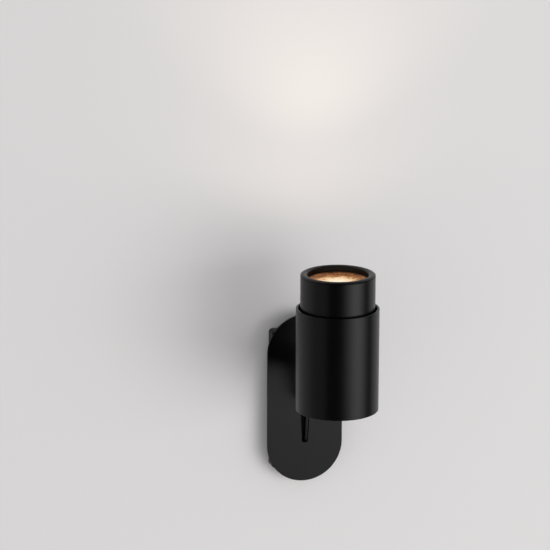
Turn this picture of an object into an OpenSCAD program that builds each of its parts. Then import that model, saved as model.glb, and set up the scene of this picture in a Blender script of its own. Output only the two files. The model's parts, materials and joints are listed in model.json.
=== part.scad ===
// Pivoting spotlight wall light, in millimetres.
// The origin is the middle of the wall bracket's back face, on the wall.
// Z points up along the wall, and the light stands out of the wall towards -Y.
// "Out" means the distance of something from the wall, so a place 12 mm out lies at y = -12.

/* [Wall plate] */
// Width of the pill-shaped plate
plate_w = 65.5; // [60:0.5:90]
// Height of the plate
plate_h = 145; // [140:1:200]
// Thickness of the plate
plate_t = 2; // [1.5:0.5:3]

/* [Housing behind the plate] */
// Width of the housing
housing_w = 56.5; // [50:0.5:58]
// Height of the housing
housing_h = 119; // [116:1:124]
// Distance from the wall to the back of the plate
housing_d = 10; // [10:0.5:20]
// Sheet thickness of the housing
sheet_t = 1.2; // [1:0.1:1.5]

/* [Wall bracket] */
// Gap between the bracket and each side of the housing
bracket_side_gap = 4; // [3:0.5:4.5]
// Thickness of the bracket strap
bracket_t = 1.5; // [1:0.5:2]
// Distance from the housing's end to the nearest wall screw
fixing_inset = 11.5; // [10.5:0.5:14]
// Width of a wall screw slot
fixing_slot_w = 4.5; // [4:0.5:5]
// Length of a wall screw slot
fixing_slot_l = 9; // [7:1:12]
// Bore of the cable grommet
cable_bore_d = 8; // [6:0.5:10]
// Height of the cable hole above the middle of the plate
cable_z = 22; // [20:1:24]

/* [Slot and hinge] */
// Distance from the hinge axis down to the bottom of the slot
slot_drop = 38.6; // [34:0.2:40]
// Width of the slot beside the hinge
slot_root_w = 8.5; // [8:0.1:10]
// Width of the slot at its bottom
slot_tip_w = 4.9; // [4.7:0.1:6]
// Distance of the hinge axis behind the plate's back face
hinge_set_back = 3.4; // [3.4:0.1:4]
// Diameter of the hinge pin
hinge_pin_d = 3; // [2.5:0.1:3]
// Wall of the channel that lines the slot
channel_wall = 1.2; // [1:0.1:1.5]

/* [Arm] */
// Height of the arm above the hinge axis
arm_rise = 4.2; // [4:0.1:4.4]
// Depth of the arm below the hinge axis
arm_fall = 2.6; // [2.4:0.1:2.8]
// Height of the swivel axis above the hinge axis
swivel_rise = 30; // [29:0.5:34]
// Diameter of the arm's swivel housing
swivel_d = 22; // [22:0.5:24]
// Diameter of the hollow swivel stud
stud_d = 10; // [9:0.5:10]
// Bore of the hollow swivel stud
stud_bore_d = 7.2; // [6:0.2:7.4]
// Angle that the head can turn before the stop pin meets its stop
swivel_travel = 345; // [300:5:345]

/* [Head] */
// Distance of the head's axis in front of the plate
head_reach = 82; // [80:0.5:90]
// Gap between the inner tube and the sleeve
tube_gap = 1.6; // [1.2:0.1:2.4]
// Wall of the sleeve
sleeve_wall = 1.8; // [1.5:0.1:2]
// Height of the sleeve
sleeve_h = 84; // [78:1:90]
// Height of the sleeve's lower edge above the hinge axis
sleeve_z = 15.5; // [14:0.5:18]
// Space between the lamp and the inner tube
lamp_space = 3.5; // [3.2:0.1:4]
// Wall of the inner tube
tube_wall = 1.5; // [1.2:0.1:1.8]
// Height that the tube stands above the sleeve
tube_stand = 26.8; // [24:0.1:34]
// Height of the lip ring's domed top, which covers the tube's end
lip_dome = 1.2; // [0.8:0.1:1.6]
// How far the lip ring reaches over the lamp's edge
lip_over = 0.5; // [0.4:0.1:1.5]
// Depth of the lip ring's inner edge, from the dome's top down to the lamp
lip_depth = 4.4; // [3.6:0.1:6]

/* [Lamp] */
// Diameter of the reflector lamp
lamp_d = 50; // [49.5:0.1:50]
// Height of the lamp from its face to its shoulder above the pins
lamp_h = 46; // [44:0.5:50]
// Distance between the lamp's two pins
pin_pitch = 10; // [9.5:0.5:10.5]

/* [Hidden] */
$fn = 72;
black = "#1d1d1f";
dark_steel = "#3a3b3e";
zinc = "#b9bcc0";
copper_tone = "#b8763c";
clearance = 0.3;        // between pieces that don't touch
running = 0.03;         // radial play of a pin or stud in its bore
rim_gap = 0.3;          // between the wall and the housing's rim
housing_corner = 3;
ear_w = 14;
ear_depth = 6.5;
screw_d = 3;            // small machine screws
nut_af = 5.5;
nut_t = 2.4;
screw_head_d = 5.5;
screw_head_t = 2;
lead_d = 1.3;
lead_pitch = 1.4;

plate_front = housing_d + plate_t;
web_back = housing_d - sheet_t;
hinge_out = housing_d - hinge_set_back;
slot_top = arm_rise + 1;            // the root's corner swings just below it
slot_straight = 5;                  // the slot keeps its width this far below the hinge
slot_corner = 1.2;
floor_gap = 0.2;                    // between the folded arm and the channel's floor
channel_floor = hinge_out - arm_fall - floor_gap;
floor_t = 1;
spring_t = 1;
fixing_spacing = housing_h - 2 * fixing_inset;
bracket_w = housing_w - 2 * (sheet_t + bracket_side_gap);
head_out = plate_front + head_reach;
tube_bore_r = lamp_d / 2 + lamp_space;
tube_r = tube_bore_r + tube_wall;
sleeve_bore_r = tube_r + tube_gap;
sleeve_r = sleeve_bore_r + sleeve_wall;
sleeve_back_out = head_out - sleeve_r;
sleeve_inside_out = sleeve_back_out + sleeve_wall;
sleeve_top = sleeve_z + sleeve_h;
tube_top = sleeve_top + tube_stand;

// Arm, in distance from the hinge axis
arm_side_gap = 0.35;
arm_tip_gap = 1;
arm_end = slot_drop - arm_tip_gap;
arm_tip_w = slot_tip_w - 2 * 0.3;
arm_root_w = slot_root_w - 2 * (arm_side_gap + 0.1);
washer_t = (slot_root_w - arm_root_w) / 2;
groove_w = 2 * lead_pitch;
groove_floor = hinge_pin_d / 2 + 0.55;
cover_t = 0.6;
lead_n = groove_floor + lead_d / 2 + 0.05;
riser_w = 8.6;                      // of the neck, measured along the arm
riser_start = arm_end - riser_w;
neck_t = 8;                         // thickness of the neck outside the slot
neck_from = plate_front - hinge_out + 0.6;

// Swivel
face_washer_t = 0.4;
saddle_t = 3;                       // of the saddle at its thinnest
saddle_out = sleeve_back_out - saddle_t;
swivel_front_out = saddle_out - face_washer_t;
swivel_back_out = hinge_out + riser_start + 0.6;
swivel_l = swivel_front_out - swivel_back_out;
swivel_wall = 4.6;
swivel_cavity_r = 8.5;
swivel_cap_t = 1.5;
swivel_cap_lip = 0.7;
stud_nut_af = 14;
stud_nut_t = 4;
wave_t = 0.8;
stop_r = 8.85;                      // from the swivel axis to the stop pin
stop_pin_d = 1.2;
stop_groove_depth = 1.6;
stop_play = 0.4;                    // in degrees, at each end of the travel
stop_pin_half = asin(stop_pin_d / 2 / stop_r);
stop_block = 360 - swivel_travel - 2 * stop_pin_half - 2 * stop_play;
stop_at = 90 - (360 - swivel_travel) / 2;
clamp_t = 4;
clamp_d = 18;
stud_rear_out = swivel_front_out - swivel_wall - wave_t - stud_nut_t - 1;
stud_front_out = sleeve_inside_out + clamp_t + wave_t + stud_nut_t + 1;

// Head, inside
flat_head_d = 5.2;
seat_z = swivel_rise + stud_nut_af;
seat_t = 3;
base_z = seat_z + seat_t;
base_t = 4;
spigot_h = 9;
spigot_wall = 2.4;
tube_z = base_z + base_t;
spigot_bore_r = tube_bore_r - spigot_wall;
fastener_r = spigot_bore_r - flat_head_d / 2 - 0.5;   // from the head's axis to the screws
seat_bore_r = fastener_r - 3;
base_bore_r = fastener_r - 9;
pillar_angle = 30;
base_screw_angle = 90;
cap_recess = 1;
cap_t = 3;
cap_screw_grip = 8;
cap_top = sleeve_z + cap_recess + cap_t;
lip_r = tube_bore_r - 0.1;
lip_bore_r = lamp_d / 2 - lip_over;
lip_rim = 0.2;                      // of the upright edge below the dome
lip_groove_h = 0.3;                 // of the groove between the ring and the tube's end
lip_groove_depth = 0.8;
lip_seat = lip_dome + lip_rim + lip_groove_h;
lip_top = tube_top + lip_seat;
lip_skirt = 3.5;
lip_skirt_wall = 1.8;
face_z = lip_top - lip_depth - clearance;
lamp_r = lamp_d / 2;
shoulder_z = face_z - lamp_h;
lamp_wall = 1.2;
lamp_rim_h = 3.2;
lamp_base_r = 10;
lamp_base_h = 10;
lens_r = 15;                        // of the bright inner lens
lens_depth = 2;                     // of the lens below the lamp's face
lens_h = 8;
lens_foot_r = 9;
pin_d = 5;
pin_l = 7;
emitter_r = 12;
emitter_board_t = 1.5;
emitter_dome_r = 8;
emitter_dome_h = 1;
emitter_z = face_z - lens_depth - lens_h - emitter_dome_h;
heat_post_r = 7;
reflector_t = 0.5;
holder_h = 16;
holder_top = shoulder_z - clearance;
holder_w = 28;
holder_depth = 20;
holder_screw_pitch = 14;
holder_screw_d = 2.5;
holder_head_d = 4.4;
lead_hole_d = 2 * lead_pitch + 0.6;
strap_t = 1.2;
strap_hole_d = 9;
strap_w = 16;
strap_span = 2 * base_bore_r + 6;
foot_l = spigot_bore_r - 2.1 - strap_span / 2;
foot_w = 9;
foot_x = strap_span / 2 + foot_l / 2;
strap_top = holder_top - holder_h;

// Terminals
terminal_w = 13;
terminal_h = 24;
terminal_d = 7;
terminal_x = -(bracket_w - terminal_w) / 2 + 0.5;
pole_pitch = 8;
pole_bore_d = 3;
pole_screw_d = 3.2;
fixing_d = 2;
fixing_head_d = 3.2;
fixing_head_t = 1.2;
fixing_head_out = bracket_t + terminal_d - fixing_head_t - 0.3;

// Places

// Local x runs along the wall, local y up it and local z out of it, from a stated distance out
module out_of_wall(from) {
    translate([0, -from, 0]) rotate([90, 0, 0]) children();
}

// A flat shape seen from the side, drawn as (distance from the hinge, height), of a width in X
module side_slab(width) {
    translate([0, -hinge_out, 0]) rotate([90, 0, -90])
        linear_extrude(width, center = true) children();
}

module along_x(from, to, d) {
    translate([from, 0, 0]) rotate([0, 90, 0]) cylinder(h = to - from, d = d);
}

module on_hinge() {
    translate([0, -hinge_out, 0]) children();
}

module on_swivel(from) {
    translate([0, 0, swivel_rise]) out_of_wall(from) children();
}

module on_head(z = 0) {
    translate([0, -head_out, z]) children();
}

// Copies at three even angles round the head's axis
module three_round(first, r = fastener_r) {
    for (i = [0:2]) rotate(first + 120 * i) translate([r, 0, 0]) children();
}

// Shapes

module pill(w, h) {
    for (s = [-1, 1]) translate([0, s * (h - w) / 2]) circle(d = w);
    square([w, h - w], center = true);
}

module rounded_rect(w, h, r) {
    for (sx = [-1, 1]) for (sy = [-1, 1])
        translate([sx * (w / 2 - r), sy * (h / 2 - r)]) circle(r = r);
    square([w - 2 * r, h], center = true);
    square([w, h - 2 * r], center = true);
}

// The slot's outline, or one larger by a margin, in x and height
module slot_outline(margin = 0, corner = slot_corner) {
    root = slot_root_w / 2 + margin;
    tip = slot_tip_w / 2 + margin;
    bottom = -slot_drop - margin;
    polygon([
        [-root, slot_top + margin], [-root, -slot_straight], [-tip, bottom + corner],
        [tip, bottom + corner], [root, -slot_straight], [root, slot_top + margin]
    ]);
    for (s = [-1, 1]) translate([s * (tip - corner), bottom + corner]) circle(r = corner);
    translate([-(tip - corner), bottom]) square([2 * (tip - corner), corner + 0.1]);
}

module ring(r_out, r_in, h) {
    difference() {
        cylinder(h = h, r = r_out);
        translate([0, 0, -1]) cylinder(h = h + 2, r = r_in);
    }
}

// A tube whose four edges are rounded
module round_edged_tube(r_out, r_in, h, edge) {
    rotate_extrude() {
        translate([r_in, edge]) square([r_out - r_in, h - 2 * edge]);
        translate([r_in + edge, 0]) square([r_out - r_in - 2 * edge, h]);
        for (x = [r_in + edge, r_out - edge]) for (y = [edge, h - edge])
            translate([x, y]) circle(r = edge);
    }
}

module hex(af, h) {
    cylinder(h = h, d = af / cos(30), $fn = 6);
}

module nut(af, h, bore_d) {
    difference() {
        hex(af, h);
        translate([0, 0, -1]) cylinder(h = h + 2, d = bore_d);
    }
}

// A screw with a flat round head, pointing down from z = 0, and a driver recess in the head
module pan_screw(d, l, head_d, head_t) {
    difference() {
        union() {
            cylinder(h = head_t, d = head_d);
            translate([0, 0, -l]) cylinder(h = l + 0.01, d = d);
        }
        translate([0, 0, head_t - 1]) hex(head_d * 0.45, 2);
    }
}

// A countersunk screw whose head is flush with z = 0, pointing down
module flat_screw(d, l, head_d) {
    cone_h = (head_d - d) / 2;
    difference() {
        union() {
            translate([0, 0, -cone_h]) cylinder(h = cone_h, d1 = d, d2 = head_d);
            translate([0, 0, -l]) cylinder(h = l - cone_h + 0.01, d = d);
        }
        translate([0, 0, -1]) hex(head_d * 0.42, 2);
    }
}

module flat_sink(d, head_d, depth) {
    cone_h = (head_d - d) / 2;
    translate([0, 0, -cone_h]) cylinder(h = cone_h + 0.01, d1 = d, d2 = head_d);
    translate([0, 0, -depth]) cylinder(h = depth, d = d);
}

function heading(a, b) = (b - a) / norm(b - a);
function turn_angle(u, v) = acos(u * v);
function trim(i, points, bend) = i == 0 || i == len(points) - 1 ? 0
    : bend * tan(turn_angle(heading(points[i - 1], points[i]), heading(points[i], points[i + 1])) / 2);

// Puts its child at a place, with the child's X, Y and Z axes along three given directions
module set_axes(x, y, z, place) {
    multmatrix([
        [x[0], y[0], z[0], place[0]], [x[1], y[1], z[1], place[1]], [x[2], y[2], z[2], place[2]]
    ]) children();
}

// A wire through a list of points, with round bends
module lead(points, bend, d = lead_d) {
    for (i = [0:len(points) - 2]) {
        v = heading(points[i], points[i + 1]);
        from = points[i] + v * trim(i, points, bend);
        l = norm(points[i + 1] - from) - trim(i + 1, points, bend);
        translate(from) rotate([0, acos(v[2]), atan2(v[1], v[0])]) cylinder(h = l, d = d);
    }
    for (i = [1:len(points) - 2]) {
        u = heading(points[i - 1], points[i]);
        v = heading(points[i], points[i + 1]);
        inward = (v - u * (u * v)) / norm(v - u * (u * v));
        start = points[i] - u * trim(i, points, bend);
        set_axes(-inward, u, cross(-inward, u), start + inward * bend)
            rotate_extrude(angle = turn_angle(u, v)) translate([bend, 0]) circle(d = d);
    }
}

// Wall side

module fixing_slot() {
    for (s = [-1, 1])
        translate([0, s * (fixing_slot_l - fixing_slot_w) / 2]) circle(d = fixing_slot_w);
    square([fixing_slot_w, fixing_slot_l - fixing_slot_w], center = true);
}

grommet_r = cable_bore_d / 2 + 3;
ear_z = housing_h / 2 - sheet_t - rim_gap;
earth_d = 4;
earth_x = bracket_w / 2 - 1.5 * earth_d;
earth_z = cable_z - 10;

module wall_bracket() {
    color(zinc) difference() {
        union() {
            out_of_wall(0) linear_extrude(bracket_t) rounded_rect(bracket_w, 2 * ear_z - 3, 4);
            for (s = [-1, 1]) {
                translate([-ear_w / 2, -bracket_t, s > 0 ? ear_z - 4 : -ear_z])
                    cube([ear_w, bracket_t, 4]);
                translate([-ear_w / 2, -bracket_t - ear_depth, s > 0 ? ear_z - bracket_t : -ear_z])
                    cube([ear_w, ear_depth + bracket_t, bracket_t]);
            }
        }
        out_of_wall(-1) linear_extrude(bracket_t + 2) {
            for (s = [-1, 1]) translate([0, s * fixing_spacing / 2]) fixing_slot();
            translate([0, cable_z]) circle(r = grommet_r);
            translate([earth_x, earth_z]) circle(d = earth_d + 0.1);
            for (s = [-1, 1]) translate([terminal_x, cable_z + s * pole_pitch / 2])
                circle(d = fixing_d + 0.1);
        }
        translate([0, -grub_out, -ear_z - 1]) cylinder(h = 2 * ear_z + 2, d = screw_d + 0.04);
    }
}

grub_out = bracket_t + ear_depth / 2 + 0.5;
grub_l = 5;

module bracket_grub_screws() {
    color(dark_steel) for (s = [-1, 1]) mirror([0, 0, s > 0 ? 0 : 1])
        translate([0, -grub_out, housing_h / 2 - 0.2 - grub_l]) difference() {
            cylinder(h = grub_l, d = screw_d);
            translate([0, 0, grub_l - 1.5]) hex(1.5, 2);
        }
}

module cable_grommet() {
    color("#26262a") translate([0, 0, cable_z]) out_of_wall(0) difference() {
        union() {
            cylinder(h = bracket_t + 0.1, r = grommet_r);
            translate([0, 0, bracket_t]) cylinder(h = 2, r = grommet_r + 2);
        }
        translate([0, 0, -1]) cylinder(h = bracket_t + 4, d = cable_bore_d);
    }
}

window_w = 24;
window_top = slot_top + 7;
window_bottom = slot_drop + 7;
plate_stud_x = housing_w / 2 - 7;
plate_stud_z = housing_h / 2 - 9.5;
plate_stud_l = 6;

module plate_stud_places() {
    for (sx = [-1, 1]) for (sz = [-1, 1]) translate([sx * plate_stud_x, sz * plate_stud_z])
        children();
}

module housing() {
    color(black) difference() {
        out_of_wall(rim_gap) linear_extrude(housing_d - rim_gap)
            rounded_rect(housing_w, housing_h, housing_corner);
        out_of_wall(rim_gap - 1) linear_extrude(web_back - rim_gap + 1)
            rounded_rect(housing_w - 2 * sheet_t, housing_h - 2 * sheet_t, housing_corner - sheet_t);
        out_of_wall(web_back - 1) linear_extrude(sheet_t + 2) {
            translate([-window_w / 2, -window_bottom]) square([window_w, window_bottom + window_top]);
            plate_stud_places() circle(d = screw_d + 0.4);
        }
        translate([0, -grub_out, -housing_h / 2 - 1])
            cylinder(h = housing_h + 2, d = screw_d + 0.1);
    }
}

module wall_plate() {
    color(black) out_of_wall(housing_d) linear_extrude(plate_t) difference() {
        pill(plate_w, plate_h);
        slot_outline();
    }
}

module plate_studs() {
    color(dark_steel) out_of_wall(housing_d - plate_stud_l) plate_stud_places()
        cylinder(h = plate_stud_l, d = screw_d);
}

module stud_nuts() {
    color(zinc) out_of_wall(web_back - nut_t) plate_stud_places() nut(nut_af, nut_t, screw_d + 0.04);
}

flange_w = 3;
flange_t = 0.8;

module hinge_channel() {
    color(black) difference() {
        union() {
            out_of_wall(channel_floor - floor_t) linear_extrude(housing_d - channel_floor + floor_t)
                slot_outline(channel_wall);
            out_of_wall(housing_d - flange_t) linear_extrude(flange_t) difference() {
                slot_outline(channel_wall + flange_w);
                translate([-window_w / 2, -slot_straight]) square([window_w, 3 * slot_top]);
            }
        }
        out_of_wall(channel_floor) linear_extrude(housing_d) slot_outline();
        on_hinge() along_x(-window_w / 2, window_w / 2, hinge_pin_d + 2 * running);
        translate([-groove_w / 2, -lead_out - 1, slot_top - 1]) cube([groove_w, 2, channel_wall + 2]);
    }
}

lead_back = 1.5;                    // from the hinge axis back to the wires' exit
lead_out = hinge_out - lead_back;
channel_side = slot_root_w / 2 + channel_wall;
pin_left = channel_side + 0.05;
nut_at = channel_side + spring_t + 0.05;

module hinge_pin() {
    color(zinc) on_hinge() difference() {
        union() {
            along_x(-pin_left - screw_head_t, -pin_left, screw_head_d);
            along_x(-pin_left - 0.01, nut_at + nut_t + 0.6, hinge_pin_d);
        }
        translate([-pin_left - screw_head_t - 1, 0, 0]) rotate([0, 90, 0]) hex(2, 2);
    }
}

module hinge_washers() {
    color("#d8d8d2") on_hinge() for (s = [-1, 1])
        translate([s > 0 ? slot_root_w / 2 - washer_t + 0.05 : -slot_root_w / 2, 0, 0])
            rotate([0, 90, 0]) ring(arm_fall - 0.1, hinge_pin_d / 2 + 0.05, washer_t - 0.05);
}

module hinge_springs() {
    color(zinc) on_hinge() for (i = [0, 1])
        translate([channel_side + i * spring_t / 2 + 0.02, 0, 0]) rotate([0, 90, 0])
            ring(nut_af / 2, hinge_pin_d / 2 + 0.1, spring_t / 2 - 0.02);
}

module hinge_nut() {
    color(zinc) on_hinge() translate([nut_at, 0, 0]) rotate([0, 90, 0])
        nut(nut_af, nut_t, hinge_pin_d + 0.04);
}

// Each child for the two screws of each pole, seen along the wall
module pole_screw_places() {
    for (p = [-1:1]) for (s = [-1, 1])
        translate([terminal_x + s * terminal_w / 4, 0, cable_z + p * pole_pitch]) children();
}

module terminal_fixing_places() {
    for (s = [-1, 1]) translate([terminal_x, 0, cable_z + s * pole_pitch / 2]) children();
}

module terminal_block() {
    color("#e9e6dc") difference() {
        translate([terminal_x - terminal_w / 2, -bracket_t - terminal_d, cable_z - terminal_h / 2])
            cube([terminal_w, terminal_d, terminal_h]);
        for (p = [-1:1])
            translate([terminal_x, -bracket_t - terminal_d / 2, cable_z + p * pole_pitch])
                rotate([0, 90, 0]) cylinder(h = terminal_w + 2, d = pole_bore_d, center = true);
        pole_screw_places() out_of_wall(bracket_t + terminal_d / 2)
            cylinder(h = terminal_d, d = pole_screw_d);
        terminal_fixing_places() {
            out_of_wall(0) cylinder(h = 2 * terminal_d, d = fixing_d + 0.1);
            out_of_wall(fixing_head_out) cylinder(h = terminal_d, d = fixing_head_d + 0.4);
        }
    }
}

module terminal_screws() {
    screw_l = terminal_d / 2 - 1.2;
    color(zinc) pole_screw_places() out_of_wall(bracket_t + terminal_d / 2 + 0.8) difference() {
        cylinder(h = screw_l, d = pole_screw_d);
        translate([-pole_screw_d, -0.3, screw_l - 0.5]) cube([2 * pole_screw_d, 0.6, 1]);
    }
}

module terminal_fixings() {
    color(zinc) terminal_fixing_places() out_of_wall(fixing_head_out)
        pan_screw(fixing_d, fixing_head_out, fixing_head_d, fixing_head_t);
}

module earth_screw() {
    color("#b9953f") translate([earth_x, 0, earth_z]) out_of_wall(bracket_t + 0.8)
        pan_screw(earth_d, bracket_t + 0.8, 7, 2.2);
}

module earth_tag() {
    color(zinc) translate([earth_x, 0, earth_z]) out_of_wall(bracket_t) linear_extrude(0.8)
        difference() {
            union() {
                circle(d = 8);
                translate([-1.6, 0]) square([3.2, 11]);
            }
            circle(d = earth_d + 0.1);
        }
}

module box_leads() {
    for (s = [-1, 1]) color(s < 0 ? "#6b3f22" : "#2f5f9e") lead([
        [terminal_x + terminal_w / 2 - 2, -lead_out, cable_z + (s - 1) * pole_pitch / 2],
        [s * lead_pitch / 2, -lead_out, cable_z + (s - 1) * pole_pitch / 2],
        [s * lead_pitch / 2, -lead_out, slot_top - 0.1]
    ], 3);
}

// Arm

// The arm's taper, seen from above: x, and distance from the hinge
module arm_taper() {
    root = arm_root_w / 2;
    tip = arm_tip_w / 2;
    mirror([0, 1, 0]) translate([0, hinge_out]) polygon([
        [-root, -arm_fall - 1], [-root, slot_straight], [-tip, arm_end - 2], [-tip, arm_end + 30],
        [tip, arm_end + 30], [tip, arm_end - 2], [root, slot_straight], [root, -arm_fall - 1]
    ]);
}

// The bar, seen from the side: round under the hinge, square above it so that it stops level
module bar_profile() {
    toe = 2.5;
    circle(r = arm_fall);
    translate([-arm_fall, 0]) square([arm_fall, arm_rise]);
    translate([0, -arm_fall]) square([arm_end - toe, arm_fall + arm_rise]);
    translate([0, -arm_fall + toe]) square([arm_end, arm_fall + arm_rise - toe]);
    translate([arm_end - toe, -arm_fall + toe]) circle(r = toe);
}

// The neck that climbs from the bar to the swivel housing
module neck_profile(from) {
    front = hinge_distance(swivel_front_out) - 3;
    polygon([
        [riser_start, from], [arm_end, from], [arm_end, neck_from + 1],
        [front, swivel_rise - swivel_cavity_r], [front, swivel_rise],
        [riser_start, swivel_rise]
    ]);
}

function hinge_distance(out) = out - hinge_out;

module arm() {
    shaft_d = hinge_distance(swivel_back_out) + 4;
    color(black) difference() {
        union() {
            intersection() {
                side_slab(slot_root_w) {
                    bar_profile();
                    neck_profile(0);
                }
                translate([0, 0, -arm_fall]) linear_extrude(swivel_rise) arm_taper();
            }
            side_slab(neck_t) neck_profile(neck_from);
            on_swivel(swivel_back_out) cylinder(h = swivel_l, d = swivel_d);
        }
        // Hinge bore
        on_hinge() along_x(-slot_root_w, slot_root_w, hinge_pin_d + 2 * running);
        // Wire groove along the top of the bar, and the wires' way up the neck
        side_slab(groove_w) translate([-arm_fall - 1, groove_floor])
            square([arm_fall + 1 + riser_start + riser_w / 2 + 2, arm_rise]);
        side_slab(groove_w) translate([riser_start + 1.5, groove_floor])
            square([riser_w / 2 + 0.5, swivel_rise - groove_floor]);
        // Swivel bore, cavity and the recess of the cap
        on_swivel(swivel_back_out - 1) cylinder(h = swivel_l + 2, d = stud_d + 2 * running);
        on_swivel(swivel_back_out - 1) cylinder(h = swivel_l - swivel_wall + 1, r = swivel_cavity_r);
        // Groove of the stop pin, which leaves the stop standing
        on_swivel(swivel_front_out - stop_groove_depth) difference() {
            ring(stop_r + 0.95, stop_r - 0.95, stop_groove_depth + 1);
            rotate(stop_at) stop_wedge();
        }
    }
}

// A wedge of the stop's angle, from the swivel axis outwards
module stop_wedge() {
    far = 2 * stop_r;
    half = stop_block / 2;
    translate([0, 0, -1]) linear_extrude(stop_groove_depth + 3)
        polygon([[0, 0], [far * cos(half), -far * sin(half)], [far * cos(half), far * sin(half)]]);
}

module arm_cover() {
    color(black) side_slab(groove_w - 0.1) translate([3, arm_rise - cover_t])
        square([riser_start - 3.2, cover_t]);
}

module arm_leads() {
    up_d = riser_start + 1.5 + riser_w / 4;
    for (s = [-1, 1]) color(s < 0 ? "#6b3f22" : "#2f5f9e") lead([for (p = [
        [-lead_back, slot_top - 0.5], [-lead_back, lead_n], [up_d, lead_n],
        [up_d, swivel_rise], [up_d + 4.5, swivel_rise]
    ]) [s * lead_pitch / 2, -hinge_out - p[0], p[1]]], 1.2);
}

module swivel_cap() {
    color(black) on_swivel(swivel_back_out) {
        cylinder(h = swivel_cap_t, r = swivel_cavity_r - 0.02);
        translate([0, 0, swivel_cap_t - 0.01]) ring(swivel_cavity_r - 0.02, swivel_cavity_r - 1.2, swivel_cap_lip);
    }
}

// Head: swivel

module swivel_stud() {
    color(zinc) on_swivel(stud_rear_out) difference() {
        cylinder(h = stud_front_out - stud_rear_out, d = stud_d);
        translate([0, 0, -1]) cylinder(h = stud_front_out, d = stud_bore_d);
    }
}

module swivel_rear_nut() {
    color(zinc) on_swivel(swivel_front_out - swivel_wall - wave_t - stud_nut_t)
        nut(stud_nut_af, stud_nut_t, stud_d + 0.04);
}

module swivel_wave_washer() {
    color(zinc) on_swivel(swivel_front_out - swivel_wall - wave_t + 0.02)
        ring(stud_nut_af / 2, stud_d / 2 + 0.1, wave_t - 0.04);
}

module swivel_face_washer() {
    color("#d8d8d2") on_swivel(swivel_front_out + 0.02)
        ring(stop_r - 1.2, stud_d / 2 + 0.1, face_washer_t - 0.04);
}

module swivel_saddle() {
    color(black) difference() {
        on_swivel(saddle_out) cylinder(h = saddle_t + 4, d = swivel_d);
        on_head(0) cylinder(h = 2 * swivel_rise, r = sleeve_r + 0.02, $fn = 180);
        on_swivel(saddle_out - 1) cylinder(h = saddle_t + 8, d = stud_d + 0.04);
        on_swivel(saddle_out - 1) translate([0, stop_r, 0]) cylinder(h = saddle_t + 2, d = stop_pin_d);
    }
}

module stop_pin() {
    color(zinc) on_swivel(swivel_front_out - stop_groove_depth + 0.3) translate([0, stop_r, 0])
        cylinder(h = stop_groove_depth + face_washer_t + saddle_t - 0.6, d = stop_pin_d);
}

module clamp_block() {
    color(zinc) intersection() {
        on_swivel(sleeve_inside_out - 1) difference() {
            cylinder(h = clamp_t + 1, d = clamp_d);
            translate([0, 0, -1]) cylinder(h = clamp_t + 4, d = stud_d + 0.04);
        }
        on_head(0) cylinder(h = 2 * swivel_rise, r = sleeve_bore_r - 0.02, $fn = 180);
    }
}

module clamp_washer() {
    color(zinc) on_swivel(sleeve_inside_out + clamp_t + 0.02)
        ring(stud_nut_af / 2 + 0.5, stud_d / 2 + 0.1, wave_t - 0.04);
}

module swivel_front_nut() {
    color(zinc) on_swivel(sleeve_inside_out + clamp_t + wave_t)
        nut(stud_nut_af, stud_nut_t, stud_d + 0.04);
}

// Head: shell

edge_r = 0.3;

module sleeve() {
    color(black) difference() {
        on_head(sleeve_z) round_edged_tube(sleeve_r, sleeve_bore_r, sleeve_h, edge_r, $fn = 180);
        on_swivel(sleeve_back_out - 2) cylinder(h = sleeve_wall + 6, d = stud_d + 0.1);
    }
}

module seat_ring() {
    color(zinc) on_head(seat_z) difference() {
        cylinder(h = seat_t, r = sleeve_bore_r - 0.02, $fn = 180);
        translate([0, 0, -1]) cylinder(h = seat_t + 2, r = seat_bore_r);
        for (first = [pillar_angle, base_screw_angle]) three_round(first) translate([0, 0, -1])
            cylinder(h = seat_t + 2, d = screw_d + 0.04);
    }
}

module tube_base() {
    color(zinc) on_head(base_z) difference() {
        union() {
            cylinder(h = base_t, r = sleeve_bore_r - clearance, $fn = 180);
            cylinder(h = base_t + spigot_h, r = tube_bore_r - 0.05);
        }
        translate([0, 0, base_t]) cylinder(h = spigot_h + 1, r = spigot_bore_r);
        translate([0, 0, -1]) cylinder(h = base_t + 2, r = base_bore_r);
        three_round(base_screw_angle) translate([0, 0, base_t])
            flat_sink(screw_d + 0.1, flat_head_d + 0.2, base_t + 1);
        for (s = [-1, 1]) translate([s * foot_x, 0, -1]) cylinder(h = base_t + 2, d = screw_d + 0.04);
    }
}

module base_screws() {
    color(zinc) on_head(base_z + base_t) three_round(base_screw_angle)
        flat_screw(screw_d, base_t + seat_t, flat_head_d);
}

module inner_tube() {
    h = tube_top - tube_z;
    color(black) on_head(tube_z) round_edged_tube(tube_r, tube_bore_r, h, edge_r, $fn = 180);
}

// A ring that screws into the tube. It stands on the tube's end over a narrow groove, and its inner
// edge holds the lamp. Its heights are measured down from the dome's top.
module lip_ring() {
    half = (tube_r - lip_bore_r) / 2;
    dome_r = (half * half + lip_dome * lip_dome) / (2 * lip_dome);
    dome_half = asin(half / dome_r);
    steps = 16;
    dome = [for (i = [0:steps]) let (a = dome_half * (2 * i / steps - 1))
        [lip_bore_r + half + dome_r * sin(a), dome_r * cos(a) - dome_r]];
    rim_z = -lip_dome - lip_rim;
    groove_r = tube_r - lip_groove_depth;
    end_z = -lip_depth - lip_skirt;
    skirt_bore_r = lip_r - lip_skirt_wall;
    color(black) on_head(lip_top) rotate_extrude($fn = 180) polygon(concat(dome, [
        [tube_r, rim_z], [groove_r, rim_z], [groove_r, -lip_seat], [lip_r, -lip_seat],
        [lip_r, end_z], [skirt_bore_r, end_z], [skirt_bore_r, -lip_depth], [lip_bore_r, -lip_depth]
    ]));
}

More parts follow.
